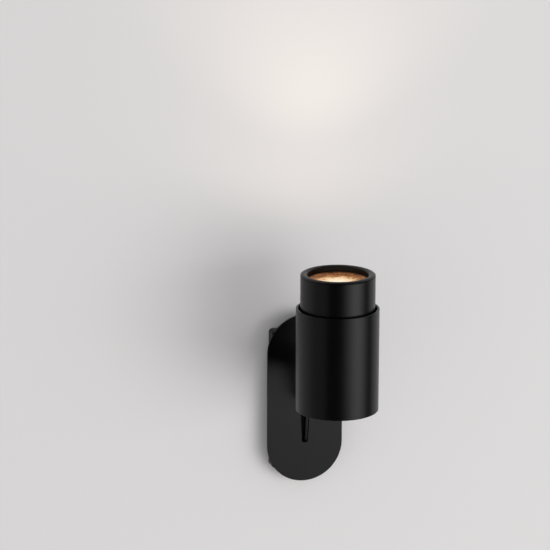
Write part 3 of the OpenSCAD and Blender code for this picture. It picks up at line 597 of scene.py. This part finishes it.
def ring_tree():
    tree, size = new_tree("copies on a ring", {
        "Count": "Int", "Radius": "Float", "Turn": "Vector", "Place": "Vector"})
    points = add(tree, "GeometryNodeMeshCircle", {
        "Vertices": size["Count"], "Radius": size["Radius"]})
    end_with_copies(tree, size, points.outputs["Mesh"])
    return tree


copies_on_grid = grid_tree()
copies_on_ring = ring_tree()
print("Trees:", copies_on_grid.name, "and", copies_on_ring.name)

# %% [markdown]
# A screw, a nut or a stud is a stack of rings of points. Most rings are round. A hexagon's ring
# reaches further out at its six corners, the first of them at angle 0. Where a cone cuts those
# corners off, the ring dips there too, which gives a nut the six arcs that its real chamfer has.
# The rings are given in millimetres, and the mesh comes out in metres.

# %% Rings of points


def hexagon(across_mm, height_mm, dip=0.0):
    """A ring round a hexagon of a given width across its flats, lower by dip where it is wider."""
    def at(angle):
        from_flat = angle % (math.pi / 3) - math.pi / 6
        radius = across_mm / 2 / math.cos(from_flat)
        return radius, height_mm - dip * (radius - across_mm / 2)
    return at


def stacked(name, rings, bored=False, sides=48):
    """A closed mesh through rings, each a (radius, height) pair or a function of the angle."""
    shape = bmesh.new()
    rows = []
    for ring in rings:
        row = []
        for step in range(sides):
            angle = 2 * math.pi * step / sides
            radius, height = ring(angle) if callable(ring) else ring
            row.append(shape.verts.new(Vector((
                radius * math.cos(angle), radius * math.sin(angle), height)) * MM))
        rows.append(row)
    following = rows[1:] + rows[:1] if bored else rows[1:]
    for low, high in zip(rows, following):
        for step in range(sides):
            after = (step + 1) % sides
            shape.faces.new((low[step], low[after], high[after], high[step]))
    if not bored:
        shape.faces.new(reversed(rows[0]))
        shape.faces.new(rows[-1])
    for face in shape.faces:
        face.smooth = True
    bmesh.ops.recalc_face_normals(shape, faces=shape.faces)
    mesh = bpy.data.meshes.new(name)
    shape.to_mesh(mesh)
    shape.free()
    return mesh


CHAMFER = math.tan(math.radians(30))
CORNER_CUT = 0.05                       # share of a nut's half width that its chamfer takes
LEAD_IN_MM = 0.25                       # of a nut's bore
POINT_MM = 0.3                          # chamfer of a screw's or stud's end
HEAD_RIM_MM = [(0.08, 0.14), (0.02, 0.06), (0.12, 0)]   # how far inwards and down, going up
UNDER_HEAD_MM = 0.1
SOCKET_LIP_MM = 0.12
SOCKET_DEPTH_MM = 1.0
DRILL_POINT_MM = 0.25
POINT_RADIUS_MM = 0.1


def nut_mesh(name, across_mm, height_mm, bore_mm):
    """A hexagon nut with both ends chamfered and a countersunk bore."""
    flat = (1 - CORNER_CUT) * across_mm / 2
    cut = CHAMFER * CORNER_CUT * across_mm / 2
    bore = bore_mm / 2
    return stacked(name, [
        (bore + LEAD_IN_MM, 0), (flat, 0),
        hexagon(across_mm, cut, dip=-CHAMFER),
        hexagon(across_mm, height_mm - cut, dip=CHAMFER),
        (flat, height_mm), (bore + LEAD_IN_MM, height_mm),
        (bore, height_mm - LEAD_IN_MM), (bore, LEAD_IN_MM)], bored=True)


def countersunk_mesh(name, shank_mm, length_mm, head_mm, socket_mm):
    """A countersunk screw that points down from its flush head, with a hexagon socket."""
    shank, head = shank_mm / 2, head_mm / 2
    cone = (head_mm - shank_mm) / 2
    mouth = 0.62 * socket_mm + 0.15     # a little wider than the hexagon's corners
    return stacked(name, [
        (shank - POINT_MM, -length_mm), (shank, -length_mm + POINT_MM),
        (shank, -cone - UNDER_HEAD_MM),
        *[(head - inwards, -down) for inwards, down in HEAD_RIM_MM],
        (mouth, 0), hexagon(socket_mm, -SOCKET_LIP_MM), hexagon(socket_mm, -SOCKET_DEPTH_MM),
        (POINT_RADIUS_MM, -SOCKET_DEPTH_MM - DRILL_POINT_MM)])


print("A hexagon 1 mm across has its corners at", round(hexagon(1, 0)(0)[0], 3), "mm")

# %% [markdown]
# Three black countersunk screws hold the bottom cap, and three zinc ones hold the base of the
# tube. Their ring's radius follows from the solids' boxes: the two screws at 30 and 150 degrees
# reach furthest to the sides.

# %% Screws on rings

HEAD_MM = 5.2
SCREW_MM = 3.0
SOCKET_MM = 2.18


def ring_radius(node, widest_mm):
    low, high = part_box(node)
    return ((high.x - low.x) / 2 - widest_mm / 2 * MM) / math.cos(math.pi / 6)


def at_head(height):
    return (HEAD_AXIS.x, HEAD_AXIS.y, height)


def screw_ring(node, length_mm, radius, first_angle, face_down):
    """The three screws of a node, as one piece."""
    low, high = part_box(node)
    turn = (math.pi, 0, first_angle) if face_down else (0, 0, first_angle)
    start = countersunk_mesh(node + "_screw", SCREW_MM, length_mm, HEAD_MM, SOCKET_MM)
    piece = made_by(copies_on_ring, node + "_finished", FINISH_OF[node], {
        "Count": 3, "Radius": radius, "Turn": turn,
        "Place": at_head(low.z if face_down else high.z)}, start)
    return stand_for(piece, node)


def height_of(node):
    low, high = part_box(node)
    return (high.z - low.z) / MM


cap_ring = ring_radius("cap_screws", HEAD_MM)
screw_ring("cap_screws", height_of("cap_screws"), cap_ring, math.pi / 6, face_down=True)
screw_ring("base_screws", height_of("base_screws"), cap_ring, math.pi / 2, face_down=False)
print("Screw ring radius", round(cap_ring / MM, 2), "mm")

# %% [markdown]
# Four studs are welded to the back of the plate, and a nut on each holds the plate to the
# housing. The thread is a ridge along a spiral, drawn with its real 0.5 mm pitch.

# %% Studs and nuts behind the plate

NUT_ACROSS_MM = 5.5
BORE_PLAY_MM = 0.04
THREAD_DEPTH_MM = 0.22
RIDGE_MM = 0.16
PITCH_MM = 0.5
THREAD_FROM_MM = 0.45
THREAD_TURNS = 10.0
FACE_OUT = (math.pi / 2, 0, 0)


def thread_tree():
    """Winds a ridge round a rod that stands on z = 0."""
    tree, size = new_tree("thread on a rod", {
        "Radius": "Float", "Pitch": "Float", "Turns": "Float", "From": "Float",
        "Ridge": "Float"})
    climb = add(tree, "ShaderNodeMath", {0: size["Pitch"], 1: size["Turns"]},
                operation="MULTIPLY")
    path = add(tree, "GeometryNodeCurveSpiral", {
        "Resolution": 20, "Rotations": size["Turns"], "Start Radius": size["Radius"],
        "End Radius": size["Radius"], "Height": climb.outputs["Value"]})
    lift = add(tree, "ShaderNodeCombineXYZ", {"Z": size["From"]})
    raised = add(tree, "GeometryNodeSetPosition", {
        "Geometry": path.outputs["Curve"], "Offset": lift.outputs["Vector"]})
    section = add(tree, "GeometryNodeCurvePrimitiveCircle", {
        "Resolution": 4, "Radius": size["Ridge"]})
    ridge = add(tree, "GeometryNodeCurveToMesh", {
        "Curve": raised.outputs["Geometry"], "Profile Curve": section.outputs["Curve"],
        "Fill Caps": True})
    both = add(tree, "GeometryNodeJoinGeometry", {"Geometry": size["Geometry"]})
    tree.links.new(ridge.outputs["Mesh"], both.inputs["Geometry"])
    end_tree(tree, both.outputs["Geometry"], size["Material"])
    return tree


thread_on_rod = thread_tree()


def on_four_corners(node, rise, start):
    """Four copies in the corners of a solid's box, rise apart in height, that face the room."""
    low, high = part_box(node)
    widest = 2 * max(vertex.co.x for vertex in start.vertices)
    piece = made_by(copies_on_grid, node + "_finished", FINISH_OF[node], {
        "Across": 2, "Up": 2, "Width": high.x - low.x - widest, "Height": rise,
        "Turn": FACE_OUT, "Place": (0, high.y, 0)}, start)
    return stand_for(piece, node)


stud_low, stud_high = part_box("plate_studs")
stud_rise = stud_high.z - stud_low.z - SCREW_MM * MM
stud_length = (stud_high.y - stud_low.y) / MM
core = SCREW_MM / 2 - THREAD_DEPTH_MM
rod = stacked("plate_stud", [
    (core - POINT_MM, 0), (core, POINT_MM), (core, stud_length)])
threaded = made_by(thread_on_rod, "plate_stud_threaded", zinc_turned, {
    "Radius": (SCREW_MM / 2 - RIDGE_MM) * MM, "Ridge": RIDGE_MM * MM, "Pitch": PITCH_MM * MM,
    "Turns": THREAD_TURNS, "From": THREAD_FROM_MM * MM}, rod)
on_four_corners("plate_studs", stud_rise, threaded.data)
bpy.data.objects.remove(threaded)
nut_low, nut_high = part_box("stud_nuts")
on_four_corners("stud_nuts", stud_rise, nut_mesh(
    "stud_nut", NUT_ACROSS_MM, (nut_high.y - nut_low.y) / MM, SCREW_MM + BORE_PLAY_MM))
print("Studs are", round(stud_length, 1), "mm long")

# %% [markdown]
# The reflector is pressed into rows of shallow pillows, which break the beam up so that no ring
# of light shows on the wall. A tree bends a flat grid into a ring, swells each facet, gives it
# its own tone, which sets the brightness of its painted reflection, and thickens the sheet. The
# lens has the same kind of pattern, finer and flatter, so the same tree makes its top, and its
# plain cone goes in as the start mesh.

# %% Facets

FACET_STEPS = 6
IDS_PER_ROW = 97                        # more than the facets of any row
FACETS_TOUCHING = 0.0005 * MM


def facet_tree():
    tree, size = new_tree("ring of facets", {
        "Round": "Int", "Rows": "Int", "Inner": "Float", "Outer": "Float", "Rise": "Float",
        "Swell": "Float", "Sheet": "Float", "Seed": "Int", "Place": "Vector"})

    # A flat grid with FACET_STEPS faces to a facet each way. X and Y become shares from 0 to 1.
    counts = add(tree, "ShaderNodeCombineXYZ", {"X": size["Round"], "Y": size["Rows"]})
    points = add(tree, "ShaderNodeVectorMath", {
        0: counts.outputs["Vector"], 1: (FACET_STEPS, FACET_STEPS, 0), 2: (1, 1, 0)},
        operation="MULTIPLY_ADD")
    each_way = add(tree, "ShaderNodeSeparateXYZ", {"Vector": points.outputs["Vector"]})
    grid = add(tree, "GeometryNodeMeshGrid", {
        "Size X": 1.0, "Size Y": 1.0,
        "Vertices X": each_way.outputs["X"], "Vertices Y": each_way.outputs["Y"]})
    middled = add(tree, "GeometryNodeInputPosition")
    share = add(tree, "ShaderNodeVectorMath", {
        0: middled.outputs["Position"], 1: (0.5, 0.5, 0)}, operation="ADD")
    shares = add(tree, "ShaderNodeSeparateXYZ", {"Vector": share.outputs["Vector"]})
    facets = add(tree, "ShaderNodeVectorMath", {
        0: share.outputs["Vector"], 1: counts.outputs["Vector"]}, operation="MULTIPLY")

    # One tone for each facet, by its column and row: the brightness of its painted reflection
    whole = add(tree, "ShaderNodeVectorMath", {0: facets.outputs["Vector"]}, operation="FLOOR")
    number = add(tree, "ShaderNodeVectorMath", {
        0: whole.outputs["Vector"], 1: (1, IDS_PER_ROW, 0)}, operation="DOT_PRODUCT")
    chance = add(tree, "FunctionNodeRandomValue", {
        "ID": number.outputs["Value"], "Seed": size["Seed"]}, data_type="FLOAT")
    toned = add(tree, "GeometryNodeStoreNamedAttribute", {
        "Geometry": grid.outputs["Mesh"], "Name": "tone", "Value": chance.outputs[1]},
        data_type="FLOAT", domain="FACE")

    # Each facet swells like half a wave, and the whole sheet climbs from its inner edge
    halves = add(tree, "ShaderNodeVectorMath", {
        0: facets.outputs["Vector"], 1: (math.pi, math.pi, 0)}, operation="MULTIPLY")
    waves = add(tree, "ShaderNodeVectorMath", {0: halves.outputs["Vector"]}, operation="SINE")
    humps = add(tree, "ShaderNodeVectorMath", {0: waves.outputs["Vector"]}, operation="ABSOLUTE")
    hump = add(tree, "ShaderNodeSeparateXYZ", {"Vector": humps.outputs["Vector"]})
    pillow = add(tree, "ShaderNodeMath", {0: hump.outputs["X"], 1: hump.outputs["Y"]},
                 operation="MULTIPLY")
    squared = add(tree, "ShaderNodeMath", {0: shares.outputs["Y"], 1: 2.0}, operation="POWER")
    bowl_height = add(tree, "ShaderNodeMath", {0: squared.outputs["Value"], 1: size["Rise"]},
                      operation="MULTIPLY")
    height = add(tree, "ShaderNodeMath", {
        0: pillow.outputs["Value"], 1: size["Swell"], 2: bowl_height.outputs["Value"]},
        operation="MULTIPLY_ADD")

    # Bent into a ring, whose two ends are joined
    radius = add(tree, "ShaderNodeMapRange", {
        "Value": shares.outputs["Y"], "To Min": size["Inner"], "To Max": size["Outer"]})
    angle = add(tree, "ShaderNodeMath", {0: shares.outputs["X"], 1: 2 * math.pi},
                operation="MULTIPLY")
    unturned = add(tree, "ShaderNodeCombineXYZ", {
        "X": radius.outputs["Result"], "Z": height.outputs["Value"]})
    bent = add(tree, "ShaderNodeVectorRotate", {
        "Vector": unturned.outputs["Vector"], "Angle": angle.outputs["Value"]},
        rotation_type="Z_AXIS")
    ring = add(tree, "GeometryNodeSetPosition", {
        "Geometry": toned.outputs["Geometry"], "Position": bent.outputs["Vector"]})
    joined = add(tree, "GeometryNodeMergeByDistance", {
        "Geometry": ring.outputs["Geometry"], "Distance": FACETS_TOUCHING})

    # Thickened downwards and closed, with the start mesh beside it
    sunk = add(tree, "GeometryNodeExtrudeMesh", {
        "Mesh": joined.outputs["Geometry"], "Offset": (0, 0, -1), "Offset Scale": size["Sheet"],
        "Individual": False})
    top = add(tree, "GeometryNodeFlipFaces", {"Mesh": joined.outputs["Geometry"]})
    sheet = add(tree, "GeometryNodeJoinGeometry", {"Geometry": sunk.outputs["Mesh"]})
    tree.links.new(top.outputs["Mesh"], sheet.inputs["Geometry"])
    closed = add(tree, "GeometryNodeMergeByDistance", {
        "Geometry": sheet.outputs["Geometry"], "Distance": FACETS_TOUCHING})
    smooth = add(tree, "GeometryNodeSetShadeSmooth", {"Geometry": closed.outputs["Geometry"]})
    both = add(tree, "GeometryNodeJoinGeometry", {"Geometry": smooth.outputs["Geometry"]})
    tree.links.new(size["Geometry"], both.inputs["Geometry"])
    moved = add(tree, "GeometryNodeTransform", {
        "Geometry": both.outputs["Geometry"], "Translation": size["Place"]})
    end_tree(tree, moved.outputs["Geometry"], size["Material"])
    return tree


ring_of_facets = facet_tree()
print("Tree:", ring_of_facets.name, "with", len(ring_of_facets.nodes), "nodes")

# %% [markdown]
# The bowl reaches from the lens out to the lamp's dark rim, and climbs with the square of the
# way, so it is steepest at the rim. The lens's top falls a little towards its edge, and the cone
# below it narrows towards the light source. The sizes come from the solids' boxes, with a thin
# seam between the pieces. The faces are turned outwards at the end, because a grid that is bent
# and thickened can come out with some of them inside out.

# %% Reflector and lens

reflector_low, reflector_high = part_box("lamp_reflector")
lens_low, lens_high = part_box("lamp_lens")
LENS_RADIUS = (lens_high.x - lens_low.x) / 2
LENS_FOOT_RADIUS = 9 * MM
BOWL_RADIUS = (reflector_high.x - reflector_low.x) / 2
SHEET = 0.5 * MM
LENS_SHEET = 0.4 * MM
LENS_DROP = 0.35 * MM                   # of the lens's rim below its solid's top
SEAM = 0.1 * MM                         # between two pieces of the lamp
FACET_EDGE = math.radians(12)
bowl_bottom = reflector_low.z + SHEET


def outwards(piece):
    """Turns a closed piece's faces outwards."""
    shape = bmesh.new()
    shape.from_mesh(piece.data)
    bmesh.ops.recalc_face_normals(shape, faces=shape.faces)
    shape.to_mesh(piece.data)
    shape.free()
    piece.data.set_sharp_from_angle(angle=FACET_EDGE)
    return piece


bowl = outwards(made_by(ring_of_facets, "lamp_reflector_finished", reflector_painted_glow, {
    "Round": 40, "Rows": 3, "Inner": LENS_RADIUS + SEAM, "Outer": BOWL_RADIUS - SEAM / 2,
    "Rise": reflector_high.z - bowl_bottom - SEAM, "Swell": 0.22 * MM, "Sheet": SHEET,
    "Seed": 4, "Place": at_head(bowl_bottom)}))
stand_for(bowl, "lamp_reflector")

lens_place = lens_high.z - LENS_DROP
cone_top = -(LENS_SHEET + SEAM) / MM
cone_bottom = (lens_low.z - lens_place) / MM
cone_rim = LENS_RADIUS / MM - 0.3       # inside the edge of the faceted top
cone = stacked("lens_cone", [
    (LENS_FOOT_RADIUS / MM, cone_bottom), (cone_rim, cone_top - 0.3),
    (cone_rim - 0.2, cone_top)], sides=90)
lens = outwards(made_by(ring_of_facets, "lamp_lens_finished", lens_moulding, {
    "Round": 30, "Rows": 6, "Inner": 2 * SEAM, "Outer": LENS_RADIUS - SEAM,
    "Rise": -0.2 * MM, "Swell": 0.12 * MM, "Sheet": LENS_SHEET, "Seed": 9,
    "Place": at_head(lens_place)}, cone))
stand_for(lens, "lamp_lens")
print("Bowl triangles:", sum(len(f.vertices) - 2 for f in bowl.data.polygons))

# %% [markdown]
# The light hangs on a painted wall, so the wall takes the place of a floor. It is drawn with a
# hole just smaller than the housing, which hides it from the front, so that the light's back can
# be looked at. Seen from behind, the wall is clear. Its paint has the faint dimples of a roller.

# %% Wall

WALL_COLOUR = "#d6d4d4"
WALL_HALF = 4.0
WALL_GAP = 0.2 * MM
HOLE_MARGIN = 1.0 * MM
housing_low, housing_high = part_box("housing")


def wall_paint():
    material = bpy.data.materials.new("rolled wall paint")
    material.use_nodes = True
    tree = material.node_tree
    tree.nodes.clear()
    place = add(tree, "ShaderNodeTexCoord").outputs["Object"]
    dimples = add(tree, "ShaderNodeTexNoise", {
        "Vector": place, "Scale": per_mm(4), "Detail": 3.0})
    rolled = add(tree, "ShaderNodeBump", {
        "Height": dimples.outputs["Fac"], "Distance": 0.05 * MM})
    paint = add(tree, "ShaderNodeBsdfPrincipled", {
        "Base Color": linear(WALL_COLOUR), "Roughness": 0.8, "Normal": rolled.outputs["Normal"]})
    behind = add(tree, "ShaderNodeNewGeometry").outputs["Backfacing"]
    clear = add(tree, "ShaderNodeBsdfTransparent")
    one_sided = add(tree, "ShaderNodeMixShader", {
        0: behind, 1: paint.outputs["BSDF"], 2: clear.outputs["BSDF"]})
    add(tree, "ShaderNodeOutputMaterial", {"Surface": one_sided.outputs["Shader"]})
    return material


def build_wall():
    """Four quads round the hole, facing the room."""
    left, right = housing_low.x + HOLE_MARGIN, housing_high.x - HOLE_MARGIN
    bottom, top = housing_low.z + HOLE_MARGIN, housing_high.z - HOLE_MARGIN
    far = WALL_HALF
    corners = [(-far, -far), (far, -far), (far, far), (-far, far),
               (left, bottom), (right, bottom), (right, top), (left, top)]
    quads = [(0, 1, 5, 4), (1, 2, 6, 5), (2, 3, 7, 6), (3, 0, 4, 7)]
    mesh = bpy.data.meshes.new("wall")
    mesh.from_pydata([(x, WALL_GAP, z) for x, z in corners], [], quads)
    wall = bpy.data.objects.new("wall", mesh)
    bpy.context.scene.collection.objects.link(wall)
    give_finish(wall, wall_paint())
    return wall


wall = build_wall()
print("The wall faces", [round(c) for c in wall.data.polygons[0].normal])

# %% [markdown]
# A black object is lit by what it reflects. Three soft boxes to the right, one before the other,
# make the broad highlight right of the head's middle, which fades in steps to both sides. A weak
# one to the left lights the left edge, and the room between them stays dark, which leaves the dark
# band down the middle. A soft light far behind the wall shows the light's back in views from
# there, and can't reach its front. The room itself lights matt surfaces evenly, and is nearly
# dark to what mirrors it, as the coat in the photograph mirrors a dark room.

# %% Lights and surroundings

AIM = Vector((0, -0.06, 0.03))
ROOM_LEVEL = 0.59
MIRRORED_LEVEL = 0.02


def soft_box(name, azimuth, elevation, distance, width, height, watts):
    """An area light aimed at the object; azimuth 0 is in front of the wall, 90 is its right."""
    data = bpy.data.lights.new(name, "AREA")
    data.shape = "RECTANGLE"
    data.size = width
    data.size_y = height
    data.energy = watts
    light = bpy.data.objects.new(name, data)
    turn, rise = math.radians(azimuth), math.radians(elevation)
    direction = Vector((
        math.sin(turn) * math.cos(rise), -math.cos(turn) * math.cos(rise), math.sin(rise)))
    light.location = AIM + distance * direction
    light.rotation_euler = direction.to_track_quat("Z", "Y").to_euler()
    bpy.context.scene.collection.objects.link(light)
    return light


# Name, azimuth, elevation, distance, width, height and watts
LIGHTS = [
    soft_box("soft box right wide", 34, -5, 3.7, 5.0, 2.4, 41),
    soft_box("soft box right", 36, -5, 3.6, 3.2, 2.4, 28),
    soft_box("soft box right core", 37, -5, 3.5, 1.6, 2.4, 17),
    soft_box("soft box left", -68, 0, 2.4, 1.75, 2.0, 5.2),
    soft_box("soft box behind", 165, 15, 2.6, 1.6, 1.6, 60),
]


def surroundings():
    """An even room for matt surfaces, dark where the coat mirrors it, and pale to the camera."""
    world = bpy.data.worlds.new("room")
    world.use_nodes = True
    tree = world.node_tree
    tree.nodes.clear()
    path = add(tree, "ShaderNodeLightPath")
    level = add(tree, "ShaderNodeMapRange", {
        "Value": path.outputs["Is Glossy Ray"],
        "To Min": ROOM_LEVEL, "To Max": MIRRORED_LEVEL})
    room = add(tree, "ShaderNodeBackground", {
        "Color": linear("#ffffff"), "Strength": level.outputs["Result"]})
    shown = add(tree, "ShaderNodeBackground", {"Color": linear(WALL_COLOUR), "Strength": 1.0})
    chosen = add(tree, "ShaderNodeMixShader", {
        0: path.outputs["Is Camera Ray"], 1: room.outputs["Background"],
        2: shown.outputs["Background"]})
    add(tree, "ShaderNodeOutputWorld", {"Surface": chosen.outputs["Shader"]})
    bpy.context.scene.world = world
    return world


surroundings()
print("Lights:", [light.name for light in LIGHTS])

# %% [markdown]
# The lamp throws its own light up the wall, which stands only 94 mm behind it. Most of a reflector
# lamp's light goes into its beam, and the rest spills far to the sides. One spot light makes
# each. They stand above the lens, so that they don't light the lamp itself.

# %% Glow on the wall

BEAM_LEAN = math.radians(3)
GLOW_RADIUS = 6 * MM
GLOW_LIFT = 1.4 * MM


def lamp_glow(name, cone, watts):
    data = bpy.data.lights.new(name, "SPOT")
    data.energy = watts
    data.color = linear("#ffe9cc")[:3]
    data.spot_size = math.radians(cone)
    data.spot_blend = 1.0
    data.shadow_soft_size = GLOW_RADIUS
    light = bpy.data.objects.new(name, data)
    light.location = at_head(lamp_high.z + GLOW_LIFT)
    light.rotation_euler = (math.pi, BEAM_LEAN, 0)
    bpy.context.scene.collection.objects.link(light)
    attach(light, "head")
    return light


beam = lamp_glow("lamp beam", 96, 0.85)
spill = lamp_glow("lamp spill", 170, 0.2)
print("Glow starts", round(beam.location.z, 4), "m up")

# %% [markdown]
# The plain view transform shows colours as they are written.

# %% View settings
bpy.context.scene.view_settings.view_transform = "Standard"
